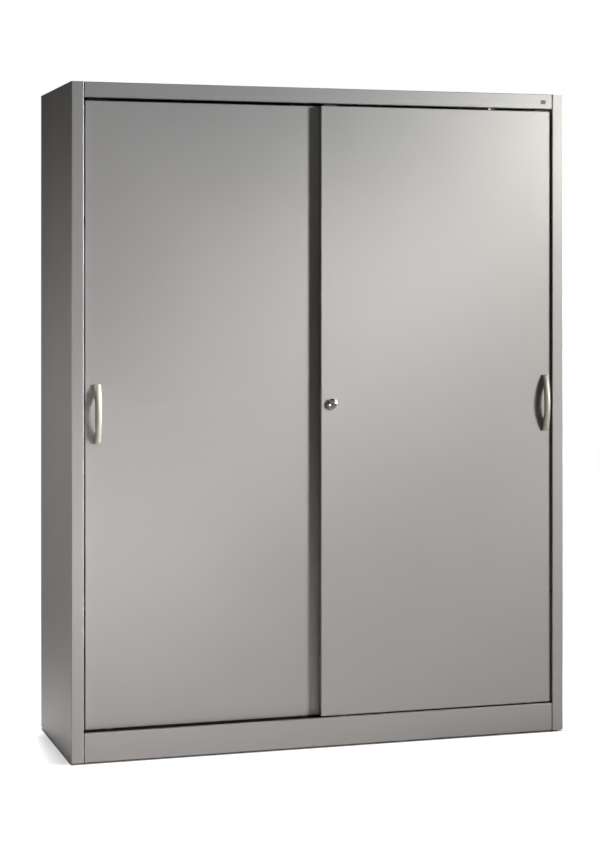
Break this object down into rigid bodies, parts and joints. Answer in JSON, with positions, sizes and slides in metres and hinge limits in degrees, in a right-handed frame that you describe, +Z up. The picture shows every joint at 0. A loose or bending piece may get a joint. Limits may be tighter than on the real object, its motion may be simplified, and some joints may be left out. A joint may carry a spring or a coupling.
{
  "type": "sliding door cabinet",
  "caption": "Tall steel cabinet whose two full-height doors slide past each other in double tracks, with bow handles, a push lock, shelves and levelling feet.",
  "frame": {"origin": "on the floor, at the bottom centre of the whole object's box, bow handle included", "axes": "+Z up, the doors face -Y, +X to the right as seen from the front"},
  "size_m": [1.5, 0.5164, 1.92],
  "materials": {
    "silver_paint": "satin metallic powder coat",
    "zinc_steel": "zinc plated",
    "handle_nickel": "satin nickel",
    "lock_chrome": "polished",
    "spring_steel": "oiled",
    "white_nylon": "matt",
    "black_nylon": "matt",
    "black_rubber": "matt",
    "dark_plastic": "satin"
  },
  "bodies": {
    "cabinet": {"side_panel_left": "silver_paint", "side_panel_right": "silver_paint", "fascia": "silver_paint", "top_panel": "silver_paint", "plinth": "silver_paint", "base_panel": "silver_paint", "rear_base_rail": "silver_paint", "back_panel_left": "silver_paint", "back_panel_right": "silver_paint", "centre_partition": "silver_paint", "side_uprights": "silver_paint", "shelf_left_1": "silver_paint", "shelf_left_2": "silver_paint", "shelf_left_3": "silver_paint", "shelf_left_4": "silver_paint", "shelf_right_1": "silver_paint", "shelf_right_2": "silver_paint", "shelf_right_3": "silver_paint", "shelf_right_4": "silver_paint", "shelf_clips": "zinc_steel", "top_track": "zinc_steel", "bottom_track": "dark_plastic", "travel_stops": "black_rubber", "closing_buffers": "black_rubber", "foot_brackets": "zinc_steel", "foot_nuts": "zinc_steel", "blank_plate": "dark_plastic"},
    "front_door": {"front_door_skin": "silver_paint", "front_door_liner": "silver_paint", "front_door_stiffeners": "silver_paint", "front_door_roller_brackets": "zinc_steel", "front_door_axles": "zinc_steel", "front_door_guides": "black_nylon", "front_door_handle": "handle_nickel", "front_door_handle_screws": "zinc_steel", "lock_housing": "lock_chrome", "lock_nut": "zinc_steel", "lock_spring": "spring_steel"},
    "rear_door": {"rear_door_skin": "silver_paint", "rear_door_liner": "silver_paint", "rear_door_stiffeners": "silver_paint", "rear_door_roller_brackets": "zinc_steel", "rear_door_axles": "zinc_steel", "rear_door_guides": "black_nylon", "rear_door_handle": "handle_nickel", "rear_door_handle_screws": "zinc_steel", "strike_plate": "zinc_steel"},
    "lock_barrel": {"lock_barrel": "lock_chrome", "lock_bolt": "zinc_steel"},
    "lock_core": {"lock_core": "lock_chrome"},
    "front_roller_left": {"front_door_roller_left": "white_nylon"},
    "front_roller_right": {"front_door_roller_right": "white_nylon"},
    "rear_roller_left": {"rear_door_roller_left": "white_nylon"},
    "rear_roller_right": {"rear_door_roller_right": "white_nylon"},
    "foot_left_front": {"levelling_foot_left_front": "black_nylon"},
    "foot_left_rear": {"levelling_foot_left_rear": "black_nylon"},
    "foot_right_front": {"levelling_foot_right_front": "black_nylon"},
    "foot_right_rear": {"levelling_foot_right_rear": "black_nylon"}
  },
  "joints": [
    {"name": "front_door_slide", "type": "slide", "parent": "cabinet", "child": "front_door", "axis": [1, 0, 0], "range_m": [-0.64, 0]},
    {"name": "rear_door_slide", "type": "slide", "parent": "cabinet", "child": "rear_door", "axis": [1, 0, 0], "range_m": [0, 0.64]},
    {"name": "front_roller_left_spin", "type": "hinge", "parent": "front_door", "child": "front_roller_left", "pos_m": [0.056, -0.22525, 0.0995], "axis": [0, 1, 0], "continuous": true},
    {"name": "front_roller_right_spin", "type": "hinge", "parent": "front_door", "child": "front_roller_right", "pos_m": [0.6425, -0.22525, 0.0995], "axis": [0, 1, 0], "continuous": true},
    {"name": "rear_roller_left_spin", "type": "hinge", "parent": "rear_door", "child": "rear_roller_left", "pos_m": [-0.635, -0.20325, 0.0995], "axis": [0, 1, 0], "continuous": true},
    {"name": "rear_roller_right_spin", "type": "hinge", "parent": "rear_door", "child": "rear_roller_right", "pos_m": [-0.056, -0.20325, 0.0995], "axis": [0, 1, 0], "continuous": true},
    {"name": "lock_press", "type": "slide", "parent": "front_door", "child": "lock_barrel", "axis": [0, 1, 0], "range_m": [0, 0.006], "stiffness_N_per_m": 400, "springref_m": -0.004, "deforming": ["lock_spring"]},
    {"name": "lock_turn", "type": "hinge", "parent": "lock_barrel", "child": "lock_core", "pos_m": [0.0195, -0.24325, 1], "axis": [0, 1, 0], "range_deg": [0, 90]},
    {"name": "foot_left_front_turn", "type": "hinge", "parent": "cabinet", "child": "foot_left_front", "pos_m": [-0.685, -0.19975, 0.04], "axis": [0, 0, 1], "continuous": true},
    {"name": "foot_left_rear_turn", "type": "hinge", "parent": "cabinet", "child": "foot_left_rear", "pos_m": [-0.685, 0.21325, 0.04], "axis": [0, 0, 1], "continuous": true},
    {"name": "foot_right_front_turn", "type": "hinge", "parent": "cabinet", "child": "foot_right_front", "pos_m": [0.685, -0.19975, 0.04], "axis": [0, 0, 1], "continuous": true},
    {"name": "foot_right_rear_turn", "type": "hinge", "parent": "cabinet", "child": "foot_right_rear", "pos_m": [0.685, 0.21325, 0.04], "axis": [0, 0, 1], "continuous": true}
  ],
  "couplings": [
    {"joint": "front_roller_left_spin", "follows": "front_door_slide", "rad_per_m": 71.429},
    {"joint": "front_roller_right_spin", "follows": "front_door_slide", "rad_per_m": 71.429},
    {"joint": "rear_roller_left_spin", "follows": "rear_door_slide", "rad_per_m": 71.429},
    {"joint": "rear_roller_right_spin", "follows": "rear_door_slide", "rad_per_m": 71.429}
  ]
}
